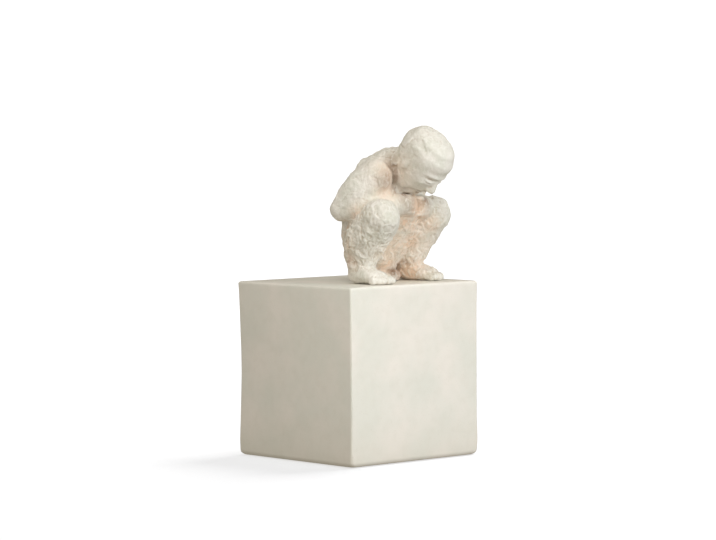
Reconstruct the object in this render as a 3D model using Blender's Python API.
"""A fired clay ornament: a crouching figure stuck on a hollow cube plinth. Metres, +Z up.

The origin is under the middle of the plinth, on the surface that it stands on. The figure looks over
the plinth's -Y edge, and its left side is towards +X. Places on the figure are (to its left, forward, up),
from the point of the plinth's top that is midway between its ankles.
"""

import math

import bmesh
import bpy
import numpy as np
from mathutils import Vector

# Seams: what the slip, or the glue under the felt, fills between two pieces
SEAM = 0.0003

# Plinth
PLINTH_WIDTH = 0.115
PLINTH_DEPTH = 0.115
PLINTH_HEIGHT = 0.1176
PLINTH_WALL = 0.006
PLINTH_TOP = 0.007
PLINTH_CORNER_RADIUS = 0.0016
PLINTH_HOLLOW_RADIUS = 0.004
PLINTH_TOP_ARRIS = 0.0018
PLINTH_FOOT_ARRIS = 0.0034
BASE_THICKNESS = 0.006
BASE_VENT_DIAMETER = 0.008
FELT_THICKNESS = 0.001
FELT_PROUD = 0.0004
FELT_MARGIN = 0.001
FELT_CORNER_RADIUS = 0.003

# Figure on the plinth, measured from the plinth's +X and -Y sides
FIGURE_FROM_SIDE = 0.0515
FIGURE_FROM_FRONT = 0.036
FIGURE_TURN = math.radians(11.0)

# Trunk, each station: forward, up, half width, half depth
SEAT = (-0.009, 0.016, 0.0185, 0.015)
PELVIS = (-0.0135, 0.029, 0.0210, 0.0155)
WAIST = (-0.015, 0.045, 0.0200, 0.0145)
CHEST = (-0.007, 0.063, 0.0225, 0.015)
SHOULDER_LINE = (0.005, 0.076, 0.0230, 0.0135)
NECK_ROOT = (0.015, 0.0785, 0.0150, 0.011)
NECK_TOP = (0.024, 0.0805, 0.0100, 0.010)
SEAT_DOME = 0.009
NECK_DOME = 0.006
TRUNK_CORE_WIDTH = 0.020
TRUNK_CORE_DEPTH = 0.013
VENT_DIAMETER = 0.004

# Clay that fills the lap and the crotch: middle, then half width, half depth, half height
LAP = (0.001, 0.010, 0.043)
LAP_HALF = (0.0190, 0.0130, 0.0125)
CROTCH = (0.006, -0.004, 0.012)
CROTCH_HALF = (0.0150, 0.0100, 0.0120)
FILL_STRAIGHT_SHARE = 0.15

# Head, bowed about its middle, each section: up the head, out towards the face, half width, half depth
HEAD_MIDDLE = (0.0028, 0.0296, 0.0802)
HEAD_BOW = math.radians(48.0)
JAW_SECTION = (-0.0174, 0.0060, 0.0107, 0.0100)
CHEEK_SECTION = (-0.0100, 0.0022, 0.0143, 0.0150)
TEMPLE_SECTION = (-0.0010, 0.0002, 0.0161, 0.0186)
BROW_SECTION = (0.0075, -0.0005, 0.0166, 0.0197)
CROWN_SECTION = (0.0160, -0.0006, 0.0139, 0.0165)
CHIN_DOME = 0.0045
CROWN_DOME = 0.0055
HEAD_CORE_DIAMETER = 0.019

# Legs
HIP = (0.012, -0.011, 0.027)
RIGHT_KNEE = (-0.030, 0.0187, 0.0438)
LEFT_KNEE = (0.0305, 0.0163, 0.0440)
RIGHT_ANKLE = (-0.027, 0.0, 0.012)
LEFT_ANKLE = (0.0245, 0.0, 0.012)
HIP_RADIUS = 0.0128
THIGH_RADIUS = 0.0148
KNEE_RADIUS = 0.0130
CALF_BULGE = 0.004
CALF_SHARE = 0.45
SHIN_TOP_RADIUS = 0.0124
CALF_RADIUS = 0.0134
ANKLE_RADIUS = 0.0088

# Feet, each station from under the ankle: outward, forward, up, half width, half height
HEEL = (0.0, -0.0025, 0.0070, 0.0074, 0.0070)
INSTEP = (0.002, 0.007, 0.0064, 0.0090, 0.0068)
BALL = (0.0035, 0.0155, 0.0045, 0.0092, 0.0046)
TOES = (0.004, 0.0225, 0.0031, 0.0085, 0.0031)

# Arms
SHOULDER = (0.0235, 0.0085, 0.0725)
RIGHT_ELBOW = (-0.0324, -0.009, 0.0515)
LEFT_ELBOW = (0.033, -0.0095, 0.0515)
RIGHT_WRIST = (-0.011, 0.019, 0.0535)
LEFT_WRIST = (0.013, 0.020, 0.050)
RIGHT_FINGERS = (0.008, 0.024, 0.052)
LEFT_FINGERS = (-0.006, 0.0245, 0.0475)
FOREARM_BOW = (0.0025, 0.0015)
SHOULDER_RADIUS = 0.0125
UPPER_ARM_RADIUS = 0.0105
ELBOW_RADIUS = 0.0088
FOREARM_RADIUS = 0.0098
WRIST_RADIUS = 0.0076
HAND_HALF_WIDTH = 0.0072
HAND_HALF_DEPTH = 0.0048

# Fineness of the forms
LIMB_SIDES = 14
TRUNK_SIDES = 20
SPAN_STEPS = 3
DOME_STEPS = 3
CORNER_STEPS = 4
VENT_SIDES = 16

STONEWARE = ("stoneware", (0.78, 0.74, 0.67), 0.45)
BISQUE = ("bisque_clay", (0.80, 0.74, 0.67), 0.85)
FELT = ("felt", (0.35, 0.34, 0.32), 0.95)


def clear_scene():
    for leftover in list(bpy.data.objects):
        bpy.data.objects.remove(leftover, do_unlink=True)


def finish(name, colour, roughness):
    """The named Principled material, made once."""
    material = bpy.data.materials.get(name)
    if material is None:
        material = bpy.data.materials.new(name)
        material.use_nodes = True
        shader = material.node_tree.nodes["Principled BSDF"]
        shader.inputs["Base Color"].default_value = (*colour, 1.0)
        shader.inputs["Roughness"].default_value = roughness
        shader.inputs["Metallic"].default_value = 0.0
    return material


def body_from_rings(rings, name):
    """A closed body through rings of equal count, with a fan to the middle of its first and last ring."""
    form = bmesh.new()
    loops = [[form.verts.new(point) for point in ring] for ring in rings]
    for lower, upper in zip(loops, loops[1:]):
        for i, corner in enumerate(lower):
            j = (i + 1) % len(lower)
            form.faces.new((corner, lower[j], upper[j], upper[i]))
    for loop in (loops[0], loops[-1]):
        middle = sum((v.co for v in loop), Vector()) / len(loop)
        pole = form.verts.new(middle)
        for i, corner in enumerate(loop):
            form.faces.new((corner, loop[(i + 1) % len(loop)], pole))
    bmesh.ops.recalc_face_normals(form, faces=form.faces)
    mesh = bpy.data.meshes.new(name)
    form.to_mesh(mesh)
    form.free()
    piece = bpy.data.objects.new(name, mesh)
    bpy.context.collection.objects.link(piece)
    return piece


def dress(piece, material_values, smooth_angle=math.radians(40.0)):
    piece.data.materials.clear()
    piece.data.materials.append(finish(*material_values))
    piece.data.shade_smooth()
    piece.data.set_sharp_from_angle(angle=smooth_angle)


def place(left, forward, up):
    """A place on the figure as a vector, where forward is -Y."""
    return Vector((left, -forward, up))


def stations_along(stations):
    """Catmull-Rom through stations of (place, half width, half depth), SPAN_STEPS to a span."""
    rows = np.array([(*centre, width, depth) for centre, width, depth in stations])
    padded = np.vstack((2 * rows[0] - rows[1], rows, 2 * rows[-1] - rows[-2]))
    path = []
    for before, start, end, after in zip(padded, padded[1:], padded[2:], padded[3:]):
        for t in np.arange(SPAN_STEPS) / SPAN_STEPS:
            bend = 2 * before - 5 * start + 4 * end - after
            twist = 3 * (start - end) + after - before
            path.append(0.5 * (2 * start + (end - before) * t + bend * t**2 + twist * t**3))
    path.append(rows[-1])
    return np.array(path)


def clay_form(name, stations, sides, domes=None, across=(1.0, 0.0, 0.0), grow=0.0):
    """Elliptical sections square to a smooth path, with a dome at each end.

    domes gives the two domes' heights, which are else those of a half ball. The sections' widths lie along
    across. grow swells the form evenly.
    """
    path = stations_along(stations)
    centres = path[:, :3]
    tangents = np.gradient(centres, axis=0)
    tangents /= np.linalg.norm(tangents, axis=1, keepdims=True)
    across = np.array(across)
    turn = 2 * math.pi * np.arange(sides) / sides

    def ring(index, scale, shift):
        tangent = tangents[index]
        side = across - tangent * tangent.dot(across)
        side /= np.linalg.norm(side)
        front = np.cross(tangent, side)
        half_width, half_depth = (path[index, 3:] + grow) * scale
        spokes = np.outer(np.cos(turn), side) * half_width + np.outer(np.sin(turn), front) * half_depth
        return centres[index] + tangent * shift + spokes

    def dome(index, sign):
        height = grow + (domes[index > 0] if domes else min(path[index, 3:]))
        angles = [math.pi / 2 * step / (DOME_STEPS + 0.5) for step in range(1, DOME_STEPS + 1)]
        return [ring(index, math.cos(a), sign * height * math.sin(a)) for a in angles]

    last = len(path) - 1
    rings = dome(0, -1.0)[::-1]
    rings += [ring(index, 1.0, 0.0) for index in range(len(path))]
    rings += dome(last, 1.0)
    return body_from_rings(rings, name)


def rounded_block(name, width, depth, low, high, corner, low_arris=0.0, high_arris=0.0):
    """An upright block with round corners and, where asked, a round arris along its foot and its top."""

    def ring(inset, height):
        radius = max(corner - inset, corner * 0.25)
        points = []
        for quarter in range(4):
            start = quarter * math.pi / 2
            middle_x = (width / 2 - inset - radius) * (1 if quarter in (0, 3) else -1)
            middle_y = (depth / 2 - inset - radius) * (1 if quarter in (0, 1) else -1)
            for step in range(CORNER_STEPS + 1):
                angle = start + step * math.pi / 2 / CORNER_STEPS
                points.append(
                    (middle_x + radius * math.cos(angle), middle_y + radius * math.sin(angle), height)
                )
        return points

    def arris(radius, edge, sign):
        angles = [math.pi / 2 * step / CORNER_STEPS for step in range(CORNER_STEPS + 1)]
        return [ring(radius * (1 - math.sin(a)), edge + sign * radius * (1 - math.cos(a))) for a in angles]

    foot = arris(low_arris, low, 1.0) if low_arris else [ring(0.0, low)]
    top = arris(high_arris, high, -1.0) if high_arris else [ring(0.0, high)]
    return body_from_rings(foot + top[::-1], name)


def rod(name, start, end, diameter, sides):
    """A plain round rod from start to end."""
    axis = (end - start).normalized()
    turn = axis.to_track_quat("Z", "Y").to_matrix()
    rings = []
    for centre in (start, end):
        ring = []
        for i in range(sides):
            angle = 2 * math.pi * i / sides
            spoke = Vector((math.cos(angle), math.sin(angle), 0.0)) * diameter / 2
            ring.append(centre + turn @ spoke)
        rings.append(ring)
    return body_from_rings(rings, name)


def largest_body(form):
    """The vertices of the largest connected body in a bmesh."""
    unseen = set(form.verts)
    bodies = []
    while unseen:
        front = [unseen.pop()]
        body = list(front)
        while front:
            for edge in front.pop().link_edges:
                for vert in edge.verts:
                    if vert in unseen:
                        unseen.remove(vert)
                        front.append(vert)
                        body.append(vert)
        bodies.append(body)
    return max(bodies, key=len)


def trim(piece, cutters, additions=()):
    """Add each addition to the piece, cut it by each cutter, drop the offcuts, and take both away."""
    tools = [(addition, "UNION") for addition in additions]
    tools += [(cutter, "DIFFERENCE") for cutter in cutters]
    for tool, operation in tools:
        joint = piece.modifiers.new(tool.name, "BOOLEAN")
        joint.operation = operation
        joint.solver = "EXACT"
        joint.object = tool
    bpy.context.view_layer.update()
    form = bmesh.new()
    form.from_object(piece, bpy.context.evaluated_depsgraph_get())
    kept = set(largest_body(form))
    bmesh.ops.delete(form, geom=[v for v in form.verts if v not in kept], context="VERTS")
    piece.modifiers.clear()
    form.to_mesh(piece.data)
    form.free()
    for tool, _ in tools:
        bpy.data.objects.remove(tool, do_unlink=True)


def trunk_stations():
    stations = (SEAT, PELVIS, WAIST, CHEST, SHOULDER_LINE, NECK_ROOT, NECK_TOP)
    return [(place(0.0, forward, up), width, depth) for forward, up, width, depth in stations]


def trunk_core_stations():
    """The hollow of the trunk, from the pelvis to the shoulder line."""
    half_width, half_depth = TRUNK_CORE_WIDTH / 2, TRUNK_CORE_DEPTH / 2
    levels = (PELVIS, WAIST, CHEST, SHOULDER_LINE)
    return [(place(0.0, forward, up), half_width, half_depth) for forward, up, _, _ in levels]


def fill_form(middle, half):
    """An upright egg of clay: two stations close to its middle and a tall dome at each end."""
    half_width, half_depth, half_height = half
    straight = place(0.0, 0.0, half_height * FILL_STRAIGHT_SHARE)
    domes = (half_height - straight.z,) * 2
    ends = (place(*middle) - straight, place(*middle) + straight)
    return [(end, half_width, half_depth) for end in ends], TRUNK_SIDES, domes


def on_head(up, out):
    """The place this far up the head from its middle, and this far out towards the face."""
    along = place(0.0, math.sin(HEAD_BOW), math.cos(HEAD_BOW))
    facing = place(0.0, math.cos(HEAD_BOW), -math.sin(HEAD_BOW))
    return place(*HEAD_MIDDLE) + along * up + facing * out


def head_stations():
    sections = (JAW_SECTION, CHEEK_SECTION, TEMPLE_SECTION, BROW_SECTION, CROWN_SECTION)
    return [(on_head(up, out), width, depth) for up, out, width, depth in sections]


def hip(side):
    left, forward, up = HIP
    return place(side * left, forward, up)


def knee(side):
    return place(*(LEFT_KNEE if side > 0 else RIGHT_KNEE))


def ankle(side):
    return place(*(LEFT_ANKLE if side > 0 else RIGHT_ANKLE))


def thigh_stations(side):
    start, end = hip(side), knee(side)
    middle = start.lerp(end, 0.5)
    return [
        (start, HIP_RADIUS, HIP_RADIUS),
        (middle, THIGH_RADIUS, THIGH_RADIUS),
        (end, KNEE_RADIUS, KNEE_RADIUS),
    ]


def shin_stations(side):
    start, end = knee(side), ankle(side)
    calf = start.lerp(end, CALF_SHARE) + place(0.0, -CALF_BULGE, 0.0)
    return [
        (start, SHIN_TOP_RADIUS, SHIN_TOP_RADIUS),
        (calf, CALF_RADIUS, CALF_RADIUS),
        (end, ANKLE_RADIUS, ANKLE_RADIUS),
    ]


def foot_stations(side):
    under = ankle(side) * Vector((1.0, 1.0, 0.0))
    stations = (HEEL, INSTEP, BALL, TOES)
    return [
        (under + place(side * outward, forward, up), width, height)
        for outward, forward, up, width, height in stations
    ]


def elbow(side):
    return place(*(LEFT_ELBOW if side > 0 else RIGHT_ELBOW))


def upper_arm_stations(side):
    left, forward, up = SHOULDER
    start, end = place(side * left, forward, up), elbow(side)
    return [
        (start, SHOULDER_RADIUS, SHOULDER_RADIUS),
        (start.lerp(end, 0.5), UPPER_ARM_RADIUS, UPPER_ARM_RADIUS),
        (end, ELBOW_RADIUS, ELBOW_RADIUS),
    ]


def forearm_stations(side):
    start = elbow(side)
    wrist = place(*(LEFT_WRIST if side > 0 else RIGHT_WRIST))
    fingers = place(*(LEFT_FINGERS if side > 0 else RIGHT_FINGERS))
    outward, forward = FOREARM_BOW
    middle = start.lerp(wrist, 0.5) + place(side * outward, forward, 0.0)
    return [
        (start, ELBOW_RADIUS, ELBOW_RADIUS),
        (middle, FOREARM_RADIUS, FOREARM_RADIUS),
        (wrist, WRIST_RADIUS, WRIST_RADIUS),
        (wrist.lerp(fingers, 0.5), HAND_HALF_WIDTH, HAND_HALF_DEPTH),
        (fingers, HAND_HALF_WIDTH, HAND_HALF_DEPTH),
    ]


def figure_forms():
    """Each piece's forms as (stations, sides, domes, across), in the order in which they are stuck on."""
    forms = {
        "torso": [
            (trunk_stations(), TRUNK_SIDES, (SEAT_DOME, NECK_DOME)),
            fill_form(LAP, LAP_HALF),
            fill_form(CROTCH, CROTCH_HALF),
        ],
        "head": [(head_stations(), TRUNK_SIDES, (CHIN_DOME, CROWN_DOME))],
    }
    sideways, upright = (1.0, 0.0, 0.0), (0.0, 0.0, 1.0)
    limbs = {
        "thigh": (thigh_stations, sideways),
        "shin": (shin_stations, sideways),
        "foot": (foot_stations, sideways),
        "upper_arm": (upper_arm_stations, sideways),
        "forearm": (forearm_stations, upright),
    }
    for limb, (stations_of, across) in limbs.items():
        for side_name, side in (("right", -1.0), ("left", 1.0)):
            forms[f"{side_name}_{limb}"] = [(stations_of(side), LIMB_SIDES, None, across)]
    return forms


def trunk_hollows():
    """The trunk's core, and the vents that lead out of it under the seat and up through the neck."""
    below_seat = place(0.0, SEAT[0], -SEAT_DOME)
    pelvis = place(0.0, *PELVIS[:2])
    shoulders = place(0.0, *SHOULDER_LINE[:2])
    neck = place(0.0, *NECK_TOP[:2])
    return [
        clay_form("trunk_core", trunk_core_stations(), LIMB_SIDES),
        rod("seat_vent", below_seat, pelvis, VENT_DIAMETER, VENT_SIDES),
        rod("neck_vent", shoulders, neck + (neck - shoulders), VENT_DIAMETER, VENT_SIDES),
    ]


def head_hollows():
    """The head's core, from the neck socket to the brow."""
    half = HEAD_CORE_DIAMETER / 2
    core = [(place(0.0, *NECK_TOP[:2]), half, half), (on_head(*BROW_SECTION[:2]), half, half)]
    return [clay_form("head_core", core, LIMB_SIDES)]


def boxes_meet(one, other):
    """Whether the boxes round two unplaced objects overlap."""
    lows, highs = [], []
    for piece in (one, other):
        corners = np.array([v.co for v in piece.data.vertices])
        lows.append(corners.min(axis=0))
        highs.append(corners.max(axis=0))
    return bool(np.all(np.maximum(*lows) < np.minimum(*highs)))


def make_plinth():
    """The shell, the base slab recessed in it, and the felt that stands proud. Returns the top's height."""
    top = FELT_PROUD + PLINTH_HEIGHT
    underside = FELT_THICKNESS + SEAM
    hollow_width = PLINTH_WIDTH - 2 * PLINTH_WALL
    hollow_depth = PLINTH_DEPTH - 2 * PLINTH_WALL

    shell = rounded_block(
        "plinth_shell",
        PLINTH_WIDTH,
        PLINTH_DEPTH,
        FELT_PROUD,
        top,
        PLINTH_CORNER_RADIUS,
        PLINTH_FOOT_ARRIS,
        PLINTH_TOP_ARRIS,
    )
    hollow = rounded_block(
        "plinth_hollow",
        hollow_width,
        hollow_depth,
        FELT_PROUD - PLINTH_WALL,
        top - PLINTH_TOP,
        PLINTH_HOLLOW_RADIUS,
    )
    trim(shell, [hollow])
    dress(shell, STONEWARE)

    base = rounded_block(
        "plinth_base",
        hollow_width - 2 * SEAM,
        hollow_depth - 2 * SEAM,
        underside,
        underside + BASE_THICKNESS,
        PLINTH_HOLLOW_RADIUS - SEAM,
    )
    vent_low = Vector((0.0, 0.0, underside - BASE_THICKNESS))
    vent_high = Vector((0.0, 0.0, underside + 2 * BASE_THICKNESS))
    trim(base, [rod("base_vent", vent_low, vent_high, BASE_VENT_DIAMETER, VENT_SIDES)])
    dress(base, STONEWARE)

    felt = rounded_block(
        "base_felt",
        hollow_width - 2 * FELT_MARGIN,
        hollow_depth - 2 * FELT_MARGIN,
        0.0,
        FELT_THICKNESS,
        FELT_CORNER_RADIUS,
    )
    dress(felt, FELT)
    return top


def make_figure(plinth_top):
    """The figure's pieces, each trimmed to the plinth's top and to the pieces stuck down before it."""
    ground = bpy.data.objects.new("figure_ground", None)
    bpy.context.collection.objects.link(ground)
    ground.location = (
        PLINTH_WIDTH / 2 - FIGURE_FROM_SIDE,
        FIGURE_FROM_FRONT - PLINTH_DEPTH / 2,
        plinth_top,
    )
    ground.rotation_euler = (0.0, 0.0, FIGURE_TURN)

    forms = figure_forms()
    hollows = {"torso": trunk_hollows, "head": head_hollows}
    reach = PLINTH_WIDTH + PLINTH_DEPTH
    stuck_down = []
    for name, (first, *others) in forms.items():
        piece = clay_form(name, *first)
        additions = [clay_form(f"{name}_fill", *form) for form in others]
        cutters = [
            rounded_block("plinth_seat", reach, reach, -PLINTH_HEIGHT, SEAM, PLINTH_CORNER_RADIUS),
        ]
        for other in stuck_down:
            cutters += [clay_form(f"{other}_seat", *form, grow=SEAM) for form in forms[other]]
        for cutter in [cutter for cutter in cutters if not boxes_meet(piece, cutter)]:
            cutters.remove(cutter)
            bpy.data.objects.remove(cutter, do_unlink=True)
        if name in hollows:
            cutters += hollows[name]()
        trim(piece, cutters, additions)
        dress(piece, BISQUE)
        piece.parent = ground
        stuck_down.append(name)


def main():
    clear_scene()
    make_figure(make_plinth())


main()
